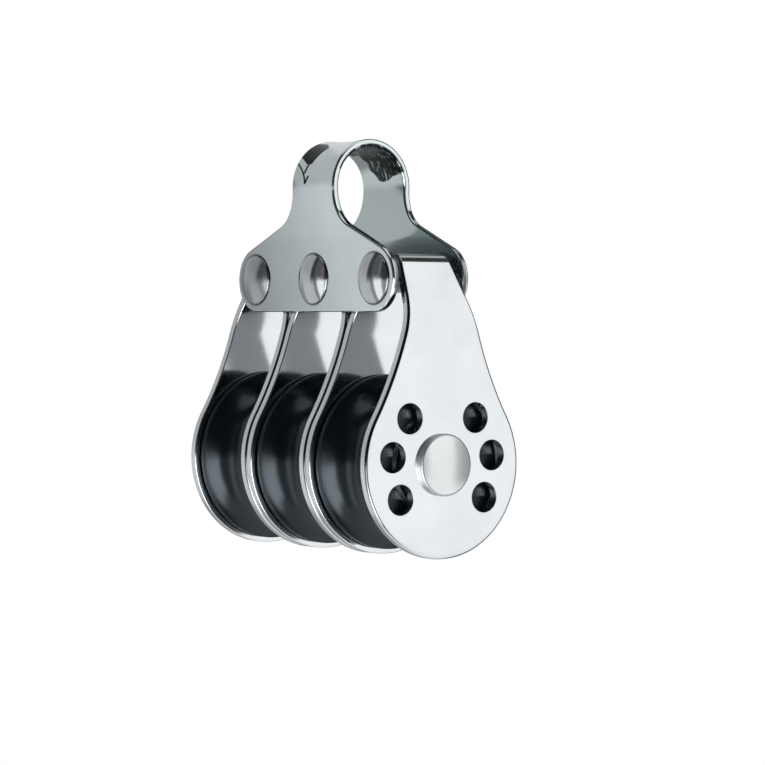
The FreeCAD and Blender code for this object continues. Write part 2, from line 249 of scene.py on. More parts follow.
# The fold: how far a point of the blank lies from the middle says where on the side view it goes.
most_runs = 5
run_inputs = [("%s %d" % (word, run), "NodeSocketFloat")
              for run in range(1, most_runs + 1) for word in ("Length", "Turn")]
fold, given = new_tree("fold", [("Top", "NodeSocketFloat")] + run_inputs)
spot = add(fold, "ShaderNodeSeparateXYZ", {0: add(fold, "GeometryNodeInputPosition").outputs[0]}).outputs
side = reckon(fold, "SIGN", spot["Y"])
left_over = reckon(fold, "ABSOLUTE", spot["Y"])
out = 0.0
height = given["Top"]
turned = 0.0
for run in range(1, most_runs + 1):
    length = given["Length %d" % run]
    part = add(fold, "ShaderNodeClamp", {"Value": left_over, "Min": 0.0, "Max": length}).outputs[0]
    bent = reckon(fold, "MULTIPLY", given["Turn %d" % run], reckon(fold, "DIVIDE", part, length))
    half_bent = reckon(fold, "MULTIPLY_ADD", bent, 0.5, 1e-6)
    shortened = reckon(fold, "DIVIDE", reckon(fold, "SINE", half_bent), half_bent)
    chord = reckon(fold, "MULTIPLY", part, shortened)
    heading = reckon(fold, "ADD", turned, half_bent)
    out = reckon(fold, "MULTIPLY_ADD", chord, reckon(fold, "COSINE", heading), out)
    drop = reckon(fold, "MULTIPLY", chord, reckon(fold, "SINE", heading))
    height = reckon(fold, "SUBTRACT", height, drop)
    turned = reckon(fold, "ADD", turned, bent)
    left_over = reckon(fold, "SUBTRACT", left_over, length)
lean = reckon(fold, "MULTIPLY", turned, reckon(fold, "MULTIPLY", side, -1.0))
out = reckon(fold, "MULTIPLY", out, side)
place = add(fold, "ShaderNodeCombineXYZ", {"X": spot["X"], "Y": out, "Z": height}).outputs[0]
deep = turned_about_x(fold, add(fold, "ShaderNodeCombineXYZ", {"Z": spot["Z"]}).outputs[0], lean)
place = add(fold, "ShaderNodeVectorMath", {0: place, 1: deep}, operation="ADD").outputs[0]
outward = turned_about_x(fold, kept(fold, "outward"), lean)
shape = keep(fold, given["Shape"], "outward", outward)
shape = add(fold, "GeometryNodeSetPosition", {"Geometry": shape, "Position": place}).outputs[0]
end_tree(fold, shape, given["Material"])


def run_tree(name, mesh, tree, values):
    """Put a mesh through a tree. The result is a plain mesh, and the modifier is gone."""
    maker = bpy.data.objects.new(name, mesh)
    bpy.context.scene.collection.objects.link(maker)
    modifier = maker.modifiers.new(name, "NODES")
    modifier.node_group = tree
    for item in tree.interface.items_tree:
        if item.in_out == "INPUT" and item.name in values:
            modifier[item.identifier] = values[item.name]
    made = bpy.data.meshes.new_from_object(maker.evaluated_get(bpy.context.evaluated_depsgraph_get()))
    bpy.data.objects.remove(maker)
    bm = bmesh.new()
    bm.from_mesh(made)
    bmesh.ops.recalc_face_normals(bm, faces=bm.faces)
    bm.to_mesh(made)
    bm.free()
    return made


def at(across, up):
    """A place in the plane of the axle, in millimetres from the middle of the eye."""
    return Matrix.Translation((across * MM, 0, up * MM))


def new_piece(node, made, matrix, body):
    """The finished piece for one CAD node: put in place, shaded by the real surface's own directions."""
    mesh = made.copy()
    mesh.name = node
    mesh.transform(matrix)
    mesh.shade_smooth()
    if "outward" in mesh.attributes:
        turn = matrix.to_3x3()
        directions = [(turn @ item.vector).normalized() for item in mesh.attributes["outward"].data]
        mesh.attributes.remove(mesh.attributes["outward"])
        mesh.normals_split_custom_set_from_vertices(directions)
    piece = bpy.data.objects.new(node + "_piece", mesh)
    bpy.context.scene.collection.objects.link(piece)
    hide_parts(node)
    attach(piece, body)


def new_material(name):
    """A material, its tree and its shader."""
    material = bpy.data.materials.new(name)
    material.use_nodes = True
    tree = material.node_tree
    return material, tree, tree.nodes["Principled BSDF"]


def object_place(tree):
    """The place on the piece, in metres."""
    return add(tree, "ShaderNodeTexCoord").outputs["Object"]


def mapped(tree, place, scale, rotation=(0, 0, 0), location=(0, 0, 0)):
    """A place stretched, turned and moved, for a pattern that runs one way."""
    return add(tree, "ShaderNodeMapping", {"Vector": place, "Scale": scale, "Rotation": rotation,
                                           "Location": location}).outputs[0]


def noise(tree, place, scale, detail):
    """Cloudy noise from 0 to 1."""
    return add(tree, "ShaderNodeTexNoise", {"Vector": place, "Scale": scale, "Detail": detail}).outputs[0]


def bump(tree, height, distance, under=None):
    """The relief of a pattern, so many metres deep, over the relief that is there already."""
    inputs = {"Height": height, "Distance": distance, "Strength": 1.0}
    if under:
        inputs["Normal"] = under
    return add(tree, "ShaderNodeBump", inputs).outputs[0]


def mix_colour(tree, share, first, second):
    """The first colour where the share is 0, the second where it is 1."""
    return add(tree, "ShaderNodeMix", {0: share, 6: first, 7: second}, data_type="RGBA").outputs[2]


def spread(tree, value, low, high, start=0.0, end=1.0):
    """From start to end, as the value goes from low to high."""
    return add(tree, "ShaderNodeMapRange", {0: value, 1: low, 2: high, 3: start, 4: end}).outputs[0]


def give_finish(tree, shader, colour, roughness, normal):
    """Link a finish to its shader."""
    for socket, value in (("Base Color", colour), ("Roughness", roughness), ("Normal", normal)):
        tree.links.new(value, shader.inputs[socket])


def steel(name, bright, dark, edge_tone, smooth, rough, grain, wave, grit=0.0, corner_shade_tone=None):
    """Polished stainless steel. grain stretches the rolling lines, wave is how far the surface is from
    flat, grit is how rough its edges are and the corner tone is painted shade on its outer corners from a
    little below the axle's height up, with none at the foot."""
    line_depth = 0.0000006
    scratch_depth = 0.0000008
    unshaded_below = -0.043
    shaded_above = -0.037
    material, tree, shader = new_material(name)
    shader.inputs["Metallic"].default_value = 1
    spot = object_place(tree)
    lines = noise(tree, mapped(tree, spot, grain), 1.0, 3.0)
    scratches = noise(tree, mapped(tree, spot, (260, 5200, 5200), (0.5, 0.9, 0.3)), 1.0, 1.0)
    scratches = spread(tree, scratches, 0.69, 0.76)
    clouds = noise(tree, spot, 170.0, 4.0)
    waves = noise(tree, spot, 75.0, 0.0)
    near_edge = add(tree, "ShaderNodeAttribute", attribute_name="edge").outputs["Fac"]
    edge = reckon(tree, "MINIMUM", near_edge, 1.0)
    # Edges take the edge tone as wear; on the rivets that tone is dark enough to be painted shade on the rims
    # of the heads.
    worn_and_shaded = reckon(tree, "MULTIPLY", edge, spread(tree, clouds, 0.35, 0.65, 0.3, 1.0))
    colour = mix_colour(tree, spread(tree, clouds, 0.3, 0.7), bright, dark)
    colour = mix_colour(tree, reckon(tree, "MULTIPLY", worn_and_shaded, 0.8), colour, edge_tone)
    # Painted shade on the outer corners, from a little below the axle's height up.
    if corner_shade_tone:
        height = add(tree, "ShaderNodeSeparateXYZ", {0: spot}).outputs["Z"]
        corner_shade = reckon(tree, "MULTIPLY", spread(tree, near_edge, 1.1, 1.6),
                       spread(tree, height, unshaded_below, shaded_above))
        colour = mix_colour(tree, corner_shade, colour, corner_shade_tone)
    roughness = spread(tree, clouds, 0.3, 0.7, smooth, rough)
    roughness = reckon(tree, "MULTIPLY_ADD", lines, 0.05, roughness)
    roughness = reckon(tree, "MULTIPLY_ADD", scratches, 0.12, roughness)
    roughness = reckon(tree, "MULTIPLY_ADD", worn_and_shaded, 0.05, roughness)
    normal = bump(tree, waves, wave)
    normal = bump(tree, lines, line_depth, normal)
    normal = bump(tree, scratches, -scratch_depth, normal)
    if grit:
        normal = bump(tree, reckon(tree, "MULTIPLY", noise(tree, spot, 8000.0, 2.0), edge), grit, normal)
    give_finish(tree, shader, colour, roughness, normal)
    return material


foot = rivet_height - lobe_radius
leg_out = leg_spacing / 2
hug = math.atan2(pinch_height, leg_out) + math.acos(eye_radius / math.hypot(leg_out, pinch_height))
touch = (eye_radius * math.cos(hug), eye_radius * math.sin(hug))
hanger_runs = [((math.pi / 2 - hug) * eye_radius, math.pi / 2 - hug)]
hanger_runs += fold_runs([touch, (leg_out, pinch_height), (leg_out, foot)], [pinch_bend])
strip = sum(length for length, turn in hanger_runs)
slope = math.radians(shoulder_angle)
lobe = arc_points((pitch, rivet_height), lobe_radius, -90, 90 - shoulder_angle)
neck = neck_width / 2
neck_corner = (neck, lobe[-1][1] + (lobe[-1][0] - neck) * math.tan(slope))
quarter = [(0, foot)] + lobe + corner_points(lobe[-1], neck_corner, (neck, 0), shoulder_blend, 3)
quarter = [(across, strip - (up - foot)) for across, up in quarter] + [(neck, 0)]
holes = [arc_points((place * pitch, side * (strip - lobe_radius)), rivet_hole, 0, 360, 7.5)[:-1]
         for place in (-1, 0, 1) for side in (-1, 1)]
blank = sheet_blank("hanger_blank", whole_outline(quarter), holes, hanger_sheet, hanger_edges,
                    fold_stations(hanger_runs), dip_cuts)
sink_bend(blank, neck, arch_dip, dip_full, dip_end)
hanger_steel = steel("polished_sheet", bright=(0.80, 0.885, 0.91, 1), dark=(0.74, 0.82, 0.845, 1),
                     edge_tone=(0.80, 0.83, 0.84, 1), smooth=0.05, rough=0.09, grain=(60, 4500, 4500),
                     wave=0.000025)

# The arch is rougher where the shackle bears on it, all round inside and on the left outside, and
# painted near-black there as shade. Painted shade rings the rivet heads, darkens all inner faces and most
# the inner faces of the feet, and darkens the colour towards the left foot and lower down. Distances here are
# in millimetres.
inside_radius = 5.5
outside_radius = 5.6
front_leg = 2.0
ring_radius = 3.2
inner_shade_tone = (0.58, 0.66, 0.67, 1)
painted_shade_tone = (0.05, 0.055, 0.06, 1)
inside_painted_shade = (0.024, 0.036, 0.036, 1)
inside_light_smear = (0.50, 0.55, 0.55, 1)
outside_painted_shade = (0.007, 0.011, 0.011, 1)
tree = hanger_steel.node_tree
shader = tree.nodes["Principled BSDF"]
spot = object_place(tree)
x, y, z = add(tree, "ShaderNodeSeparateXYZ", {0: mapped(tree, spot, (1000, 1000, 1000))}).outputs
leftward = reckon(tree, "MULTIPLY", x, -1.0)
smears = noise(tree, spot, 900.0, 5.0)


def over(tree, value, start, slope):
    """How far a value is over a start, times a slope, and never less than 0."""
    past = reckon(tree, "MAXIMUM", reckon(tree, "SUBTRACT", value, start), 0.0)
    return reckon(tree, "MULTIPLY", past, slope)


def all_of(tree, *values):
    """1 where every value is above 0, with a narrow soft edge."""
    least = values[0]
    for value in values[1:]:
        least = reckon(tree, "MINIMUM", least, value)
    return spread(tree, least, -0.06, 0.06)


def line_at(tree, value, middle, half_width):
    """Above 0 within half a width of the middle."""
    away = reckon(tree, "ABSOLUTE", reckon(tree, "SUBTRACT", value, middle))
    return reckon(tree, "SUBTRACT", half_width, away)


def distance(tree, sides):
    """How far a place is from the middle. The place is a socket, or those of its sides that count."""
    if isinstance(sides, dict):
        sides = add(tree, "ShaderNodeCombineXYZ", sides).outputs[0]
    return add(tree, "ShaderNodeVectorMath", {0: sides}, operation="LENGTH").outputs["Value"]


from_arch = distance(tree, {"Y": y, "Z": reckon(tree, "MAXIMUM", z, 0.0)})
inner_face = reckon(tree, "SUBTRACT", inside_radius, from_arch)
outer_face = reckon(tree, "SUBTRACT", from_arch, outside_radius)
front = reckon(tree, "SUBTRACT", -front_leg, y)
inside = all_of(tree, inner_face)

# Inside, the scuff, rough and painted near-black as shade, covers the top of the arch and comes down lower in
# the middle and on the right. Outside it is a patch of painted shade on the left, between two slanting lines.
lower = reckon(tree, "SUBTRACT", reckon(tree, "SUBTRACT", z, 0.87), over(tree, leftward, 0.25, 1.0))
lower = reckon(tree, "SUBTRACT", lower, over(tree, x, 1.0, 0.33))
lower = reckon(tree, "MINIMUM", lower, reckon(tree, "ADD", x, 1.9))
inner_scuff_and_shade = reckon(tree, "MAXIMUM", lower, reckon(tree, "SUBTRACT", z, 4.2))
inner_scuff_and_shade = reckon(tree, "MULTIPLY_ADD", reckon(tree, "SUBTRACT", smears, 0.5), 1.1, inner_scuff_and_shade)
scuff_and_shade = all_of(tree, inner_scuff_and_shade, inner_face)
low_edge = reckon(tree, "SUBTRACT", reckon(tree, "SUBTRACT", z, 2.9), over(tree, leftward, 2.4, 0.5))
top_edge = reckon(tree, "SUBTRACT", reckon(tree, "MULTIPLY_ADD", leftward, 0.3, 4.9), z)
side_edge = reckon(tree, "MULTIPLY_ADD", z, 0.4, reckon(tree, "SUBTRACT", leftward, 2.6))
patch = all_of(tree, low_edge, top_edge, side_edge, outer_face, front)
scuff_and_shade = reckon(tree, "MAXIMUM", scuff_and_shade, patch)

# Under that patch is a hooked scratch, rough and painted dark as shade: a long bowed stroke up to the left,
# and two short ones to the right. A stroke has its line, how far left that lies, half its width, and its
# heights from and to.
climb = reckon(tree, "MULTIPLY_ADD", z, 0.571, -0.2)
bow = reckon(tree, "MULTIPLY_ADD", reckon(tree, "MULTIPLY", climb, climb), -1.0, leftward)
hook = reckon(tree, "ADD", climb, leftward)
curl = reckon(tree, "MULTIPLY_ADD", climb, 0.46, leftward)
strokes = [(bow, 1.95, 0.18, 0.35, 3.6), (hook, 1.95, 0.2, 0.35, 1.4), (curl, 2.7, 0.2, 1.7, 3.1)]
for line, middle, half_width, low, high in strokes:
    stroke = line_at(tree, line, middle, half_width)
    height = line_at(tree, z, (low + high) / 2, (high - low) / 2)
    scuff_and_shade = reckon(tree, "MAXIMUM", scuff_and_shade, all_of(tree, stroke, height, outer_face, front))

# A rough ring round each rivet head and a rough film between the feet are painted dark as shade, and a factor
# on the colour paints shade towards the left foot and lower down.
from_rivet = distance(tree, {"X": reckon(tree, "WRAP", x, pitch / 2, -pitch / 2),
                             "Y": reckon(tree, "SUBTRACT", z, rivet_height)})
ring = reckon(tree, "MULTIPLY", all_of(tree, line_at(tree, from_rivet, ring_radius, 0.2)), 0.75)
between = spread(tree, z, -6.5, -7.8, 0.0, 0.32)
between = reckon(tree, "MULTIPLY_ADD", spread(tree, z, -9.5, -13.0), 0.55, between)
grime_and_shade = reckon(tree, "MAXIMUM", ring, reckon(tree, "MULTIPLY", between, inside))
# Painted shade: the colour darkens towards the left foot and lower down.
painted_shade_factor = reckon(tree, "MULTIPLY_ADD", z, 0.011, reckon(tree, "MULTIPLY_ADD", x, 0.023, 0.95))
painted_shade_factor = add(tree, "ShaderNodeClamp", {"Value": painted_shade_factor, "Min": 0.5, "Max": 1.0}).outputs[0]
painted_shade_factor = add(tree, "ShaderNodeCombineXYZ", {0: painted_shade_factor, 1: painted_shade_factor, 2: painted_shade_factor}).outputs[0]
smear_streaks = noise(tree, mapped(tree, spot, (2600, 900, 520), (0.0, 0.35, 0.0)), 1.0, 4.0)
# Painted shade: near-black inside and outside, with lighter smears painted into it inside as highlights.
painted_dark = mix_colour(tree, spread(tree, smear_streaks, 0.57, 0.66), inside_painted_shade, inside_light_smear)
painted_dark = mix_colour(tree, all_of(tree, outer_face), painted_dark, outside_painted_shade)
colour = shader.inputs["Base Color"].links[0].from_socket
colour = add(tree, "ShaderNodeVectorMath", {0: colour, 1: painted_shade_factor}, operation="MULTIPLY").outputs[0]
# Painted shade: all inner faces are darker.
colour = mix_colour(tree, inside, colour, inner_shade_tone)
# Painted shade round the rivet heads and between the feet.
colour = mix_colour(tree, grime_and_shade, colour, painted_shade_tone)
tree.links.new(mix_colour(tree, scuff_and_shade, colour, painted_dark), shader.inputs["Base Color"])
roughness = shader.inputs["Roughness"].links[0].from_socket
roughness = mix_colour(tree, grime_and_shade, roughness, (0.4, 0.4, 0.4, 1))
roughness = mix_colour(tree, scuff_and_shade, roughness, spread(tree, smears, 0.3, 0.7, 0.22, 0.34))
tree.links.new(roughness, shader.inputs["Roughness"])


def fold_values(runs, top, material):
    """The fold's values for one side view. A run that it doesn't need is all but empty."""
    values = {"Top": top * MM, "Material": material}
    for number in range(most_runs):
        length, turn = runs[number] if number < len(runs) else (0.001, 0)
        values["Length %d" % (number + 1)] = length * MM
        values["Turn %d" % (number + 1)] = float(turn)
    return values


made = run_tree("hanger", blank, fold, fold_values(hanger_runs, eye_radius, hanger_steel))
new_piece("hanger", made, Matrix.Identity(4), "frame")

# Shells: each is one strap of heavier stainless sheet, folded over its spacer tube into two cheeks
# with round ends. The cheeks stand upright beside the sheave and lean together above it.
# Six holes in each cheek save weight, and the axle rivet goes through the seventh.

shell_sheet = 1.2
cheek_radius = 11.75
neck_angle = math.radians(9.0)
neck_blend = 48.0
crown_inset = 1.15
lean_angle = math.radians(29.0)
lean_bend = 9.5
crown_bend = 2.2
tube_radius = 1.85
tube_clearance = 0.55
hole_circle = 7.7
hole_radius = 1.9
hole_step = 41.0
axle_hole = 2.45
shell_edges = (0.34, 0.14)
side_step = 0.5
rivet_above = rivet_height + eye_to_axle

crown = rivet_above + tube_radius + shell_sheet
clear = tube_radius + tube_clearance + shell_sheet
cheek_out = pitch / 2
low = (cheek_out, rivet_above + (clear - cheek_out * math.cos(lean_angle)) / math.sin(lean_angle))
high = ((clear - (crown - rivet_above) * math.sin(lean_angle)) / math.cos(lean_angle), crown)
shell_runs = fold_runs([(0, crown), high, low, (cheek_out, -cheek_radius)], [crown_bend, lean_bend])
strap = sum(length for length, turn in shell_runs)
crown_half = leg_out - hanger_sheet - crown_inset
across = Vector((math.cos(neck_angle), math.sin(neck_angle)))
reach = Vector((crown_half, crown)).dot(across) + neck_blend
rise = math.sqrt((cheek_radius + neck_blend) ** 2 - reach ** 2)
hollow = across * reach + Vector((-across.y, across.x)) * rise
leave = math.atan2(hollow.y, hollow.x)


def strap_height(along):
    """Height above the axle of the strap's outside, so far along it from the middle of the crown."""
    level = crown
    turned = 0
    for length, turn in shell_runs:
        part = min(max(along, 0), length)
        bent = turn * part / length
        half_bent = bent / 2 + 1e-9
        level -= part * math.sin(half_bent) / half_bent * math.sin(turned + half_bent)
        turned += bent
        along -= length
    return level


def cheek_width(level):
    """Half of the cheek's width at a height above the round."""
    if level > hollow.y - neck_blend * across.y:
        return crown_half + (crown - level) * math.tan(neck_angle)
    return hollow.x - math.sqrt(neck_blend ** 2 - (level - hollow.y) ** 2)


cheek_round = arc_points((0, 0), cheek_radius, -90, math.degrees(leave), 2.5)
quarter = [(out, strap - cheek_radius - up) for out, up in cheek_round]
steps = math.ceil(quarter[-1][1] / side_step)
for number in range(1, steps + 1):
    along = (1 - number / steps) * (strap - cheek_radius - cheek_radius * math.sin(leave))
    quarter.append((cheek_width(strap_height(along)), along))
holes = []
for side in (-1, 1):
    axle_along = side * (strap - cheek_radius)
    holes.append(arc_points((0, axle_along), axle_hole, 0, 360, 6)[:-1])
    for hole in (-3, -2, -1, 1, 2, 3):
        angle = math.radians(hole * hole_step)
        centre = (hole_circle * math.sin(angle), axle_along - side * hole_circle * math.cos(angle))
        holes.append(arc_points(centre, hole_radius, 0, 360, 6)[:-1])
blank = sheet_blank("shell_blank", whole_outline(quarter), holes, shell_sheet, shell_edges,
                    fold_stations(shell_runs))
# The cheeks' outer corners are painted dark as shade from a little below the axle up.
shell_steel = steel("polished_cheek", bright=(0.845, 0.875, 0.895, 1), dark=(0.79, 0.825, 0.85, 1),
                    edge_tone=(0.68, 0.71, 0.735, 1), smooth=0.05, rough=0.10, grain=(4500, 60, 4500),
                    wave=0.00002, grit=0.000002, corner_shade_tone=(0.13, 0.14, 0.15, 1))
made = run_tree("shell", blank, fold, fold_values(shell_runs, crown, shell_steel))
places = {"left": -pitch, "middle": 0, "right": pitch}
quarter_turn = Matrix.Rotation(math.pi / 2, 4, "Z")
for name, place in places.items():
    new_piece(name + "_shell", made, at(place, -eye_to_axle) @ quarter_turn, "frame")

# Spacer tubes: short lengths of drawn stainless tube between the hanger's legs. Each hangs on a
# rivet, keeps the legs apart and carries the crown of its shell.

sides_round = 144

# The lathe: a half section becomes a grid with a row for each of its points, and the grid is swung round.
turning, given = new_tree("turning", [("Sides", "NodeSocketInt")])
count = add(turning, "GeometryNodeAttributeDomainSize", {0: given["Shape"]}).outputs["Point Count"]
columns = reckon(turning, "ADD", given["Sides"], 1.0)
shape = add(turning, "GeometryNodeMeshGrid", {"Vertices X": count, "Vertices Y": columns}).outputs[0]
index = add(turning, "GeometryNodeInputIndex").outputs[0]
row = reckon(turning, "FLOOR", reckon(turning, "DIVIDE", reckon(turning, "ADD", index, 0.5), columns))
column = reckon(turning, "SUBTRACT", index, reckon(turning, "MULTIPLY", row, columns))
angle = reckon(turning, "DIVIDE", reckon(turning, "MULTIPLY", column, 2 * math.pi), given["Sides"])


def at_row(value, kind="FLOAT_VECTOR"):
    """A value of the half section, at the point that has this row."""
    return add(turning, "GeometryNodeSampleIndex", {"Geometry": given["Shape"], "Value": value, "Index": row},
               data_type=kind, domain="POINT").outputs[0]


shape = keep(turning, shape, "outward", turned_about_x(turning, at_row(kept(turning, "outward")), angle))
shape = keep(turning, shape, "edge", at_row(kept(turning, "edge", "FLOAT"), "FLOAT"), "FLOAT")
place = turned_about_x(turning, at_row(add(turning, "GeometryNodeInputPosition").outputs[0]), angle)
shape = add(turning, "GeometryNodeSetPosition", {"Geometry": shape, "Position": place}).outputs[0]
shape = add(turning, "GeometryNodeMergeByDistance", {"Geometry": shape, "Distance": 1e-7}).outputs[0]
end_tree(turning, shape, given["Material"])


def half_section(corners):
    """Points of half a section. A corner is (along, out, rounding); it is kept sharp where that is 0."""
    points = []
    for number, (along, out, rounding) in enumerate(corners):
        if rounding:
            rounded = corner_points(points[-1][:2], (along, out), corners[number + 1][:2], rounding)
            points += [(x, y, 1.0) for x, y in rounded]
        else:
            points.append((along, out, 0.0))
    return points


def turned_mesh(name, half, material, closed):
    """A whole turned part from the half section on its left, which ends in the middle."""
    points = half + [(-x, y, near) for x, y, near in reversed(half[:-1])]
    line = [(x, y) for x, y, near in points]
    if closed:
        normals = side_normals(line[:-1])
        normals.append(normals[0])
    else:
        mirrored = [(x, -y) for x, y in reversed(line[1:-1])]
        normals = side_normals(line + mirrored)[:len(line)]
    mesh = bpy.data.meshes.new(name)
    links = [(number, number + 1) for number in range(len(line) - 1)]
    mesh.from_pydata([(x * MM, 0, y * MM) for x, y in line], links, [])
    mesh.attributes.new("outward", "FLOAT_VECTOR", "POINT").data.foreach_set(
        "vector", [value for normal in normals for value in (normal.x, 0, normal.y)])
    mesh.attributes.new("edge", "FLOAT", "POINT").data.foreach_set("value", [near for x, y, near in points])
    return run_tree(name, mesh, turning, {"Sides": sides_round, "Material": material})


tube_half = leg_spacing / 2 - hanger_sheet
tube_steel = steel("drawn_tube", bright=(0.55, 0.56, 0.57, 1), dark=(0.42, 0.43, 0.44, 1),
                   edge_tone=(0.6, 0.6, 0.6, 1), smooth=0.22, rough=0.34, grain=(4000, 80, 4000),
                   wave=0.000004)
half = half_section([
    (0, rivet_hole, 0),
    (-tube_half, rivet_hole, 0.06),
    (-tube_half, tube_radius, 0.1),
    (0, tube_radius, 0)])
made = turned_mesh("spacer_tube", half, tube_steel, True)
for name, place in places.items():
    new_piece(name + "_spacer_tube", made, at(place, rivet_height) @ quarter_turn, "frame")

# Hanger rivets: three stainless rivets through the hanger's legs and the spacer tubes, closed with
# a low dome at both ends. The left one is duller from handling than the other two.

rivet_shank = 1.3
rivet_head = 3.2
rivet_wall = 0.2
rivet_crown = 0.9
rivet_round = 0.16
rivet_slants = {"left": 0.1, "middle": 0.0, "right": -0.1}


def headed_pin(grip, shank, head, wall, pin_crown, rounding):
    """Half section of a rivet, from the middle of its left dome to the middle of its shank."""
    dome_rise = pin_crown - wall
    dome = (head ** 2 + dome_rise ** 2) / (2 * dome_rise)
    far = math.degrees(math.asin((head - 1.2 * rounding) / dome))
    points = arc_points((-(grip + pin_crown - dome), 0), dome, 180, 180 - far, 1.0)
    return half_section([(x, y, 0) for x, y in points] + [
        (-(grip + wall), head, rounding),
        (-grip, head, 0.06),
        (-grip, shank, 0),
        (0, shank, 0)])


def press_askew(mesh, slant):
    """Lean a rivet's domes to one side, as a hand press leaves them."""
    for vert, item in zip(mesh.vertices, mesh.attributes["outward"].data):
        share = 1 - (vert.co.yz.length / MM / rivet_head) ** 4
        if abs(vert.co.x) / MM > leg_spacing / 2 + rivet_wall and share > 0:
            vert.co.x += slant * share * vert.co.y
            item.vector = Matrix.Rotation(-slant, 3, "Z") @ item.vector


half = headed_pin(leg_spacing / 2, rivet_shank, rivet_head, rivet_wall, rivet_crown, rivet_round)
for name, place in places.items():
    smooth, rough, shine = (0.16, 0.22, 0.47) if name == "left" else (0.05, 0.09, 0.63)
    # The dark edge tone paints shade on the rims and feet of the rivet heads.
    rivet_steel = steel(name + "_rivet", bright=(shine * 0.96, shine * 1.02, shine * 1.06, 1),
                        dark=(shine * 0.85, shine * 0.9, shine * 0.94, 1), edge_tone=(0.26, 0.28, 0.29, 1),
                        smooth=smooth, rough=rough, grain=(70, 4000, 4000), wave=0.000006)
    made = turned_mesh(name + "_rivet", half, rivet_steel, False)
    press_askew(made, rivet_slants[name])
    new_piece(name + "_hanger_rivet", made, at(place, rivet_height) @ quarter_turn, "frame")

# Axle rivet: one long stainless pin through all six cheeks and the three bearings. Its broad, nearly
# flat heads are pressed over after the block is stacked up, and then brushed.

axle_shank = 2.4
axle_head = 3.9
axle_wall = 0.75
axle_crown = 1.0
axle_round = 0.35
axle_steel = steel("axle_rivet", bright=(0.815, 0.85, 0.85, 1), dark=(0.75, 0.785, 0.785, 1),
                   edge_tone=(0.78, 0.81, 0.815, 1), smooth=0.05, rough=0.10, grain=(4000, 4000, 90),
                   wave=0.000004)


def from_axle(tree):
    """How far a place is from the axle's line, in metres."""
    return distance(tree, mapped(tree, object_place(tree), (0, 1, 1), location=(0, 0, eye_to_axle * MM)))


# The rims of its heads are duller than their brushed faces.
tree = axle_steel.node_tree
shader = tree.nodes["Principled BSDF"]
on_rim = spread(tree, from_axle(tree), 0.00355, 0.0038)
for socket, value in (("Base Color", (0.66, 0.68, 0.69, 1)), ("Roughness", (0.52, 0.52, 0.52, 1))):
    plain = shader.inputs[socket].links[0].from_socket
    tree.links.new(mix_colour(tree, on_rim, plain, value), shader.inputs[socket])

half = headed_pin(1.5 * pitch, axle_shank, axle_head, axle_wall, axle_crown, axle_round)
made = turned_mesh("axle_rivet", half, axle_steel, False)
new_piece("axle_rivet", made, at(0, -eye_to_axle), "frame")

# Inner races: one turned stainless ring in each shell, clamped between its cheeks by the axle rivet,
# with two round tracks for the balls.

race_radius = 3.95
ball_radius = 1.19
ball_circle = 4.6
ball_clearance = 0.05
side_gap = 0.3
race_half = pitch / 2 - shell_sheet
sheave_half = race_half - side_gap
ball_row = sheave_half - 2.475
track = ball_radius + ball_clearance
track_turn = math.degrees(math.asin((ball_circle - race_radius) / track))
race_steel = steel("turned_race", bright=(0.66, 0.665, 0.67, 1), dark=(0.58, 0.59, 0.60, 1),
                   edge_tone=(0.7, 0.7, 0.7, 1), smooth=0.12, rough=0.20, grain=(6000, 80, 80),
                   wave=0.000003)
race_track = arc_points((-ball_row, ball_circle), track, 180 + track_turn, 360 - track_turn, 8)
half = half_section([
    (0, axle_hole, 0),
    (-race_half, axle_hole, 0.08),
    (-race_half, race_radius, 0.1)] + [(x, y, 0) for x, y in race_track] + [
    (0, race_radius, 0)])
made = turned_mesh("inner_race", half, race_steel, True)
for name, place in places.items():
    new_piece(name + "_inner_race", made, at(place, -eye_to_axle), "frame")

# Balls: two rows of eleven moulded acetal balls in each sheave. They roll between the race and the
# sheave's bore, and each row goes round the axle at its own slower pace.

balls_in_row = 11
row_inputs = [("Balls", "NodeSocketInt"), ("Circle", "NodeSocketFloat"), ("Ball radius", "NodeSocketFloat")]
row_tree, given = new_tree("ball_row", row_inputs)
circle = add(row_tree, "GeometryNodeMeshCircle", {"Vertices": given["Balls"], "Radius": given["Circle"]})
ball = add(row_tree, "GeometryNodeMeshUVSphere",
           {"Segments": 24, "Rings": 14, "Radius": given["Ball radius"]})
dotted = add(row_tree, "GeometryNodeInstanceOnPoints",
             {"Points": circle.outputs[0], "Instance": ball.outputs[0]})
end_tree(row_tree, dotted.outputs[0], given["Material"])

ball_plastic, tree, shader = new_material("ball_plastic")
cloud = noise(tree, object_place(tree), 700.0, 3.0)
colour = mix_colour(tree, cloud, (0.86, 0.86, 0.83, 1), (0.78, 0.78, 0.74, 1))
give_finish(tree, shader, colour, spread(tree, cloud, 0.3, 0.7, 0.2, 0.34), bump(tree, cloud, 0.000004))

made = run_tree("ball_row", bpy.data.meshes.new("ball_row"), row_tree, {
    "Balls": balls_in_row,
    "Circle": ball_circle * MM,
    "Ball radius": ball_radius * MM,
    "Material": ball_plastic})
onto_axle = Matrix.Rotation(math.pi / 2, 4, "Y")
for name, place in places.items():
    for row, side in (("a", -1), ("b", 1)):
        node = "%s_sheave_balls_%s" % (name, row)
        body = "%s_balls_%s" % (name, row)
        new_piece(node, made, at(place + side * ball_row, -eye_to_axle) @ onto_axle, body)

# Sheaves: black acetal wheels, moulded and then trued on a lathe, with a round groove for the rope, a
# flat land at each rim and a shallow recess in each side. The groove is polished by the rope.

sheave_radius = 11.1
sheave_bore = 5.3
rim_land = 0.85
rim_round = 0.25
rope_root = 8.35
relief_depth = 0.35
relief_inner = 6.1
relief_outer = 10.0

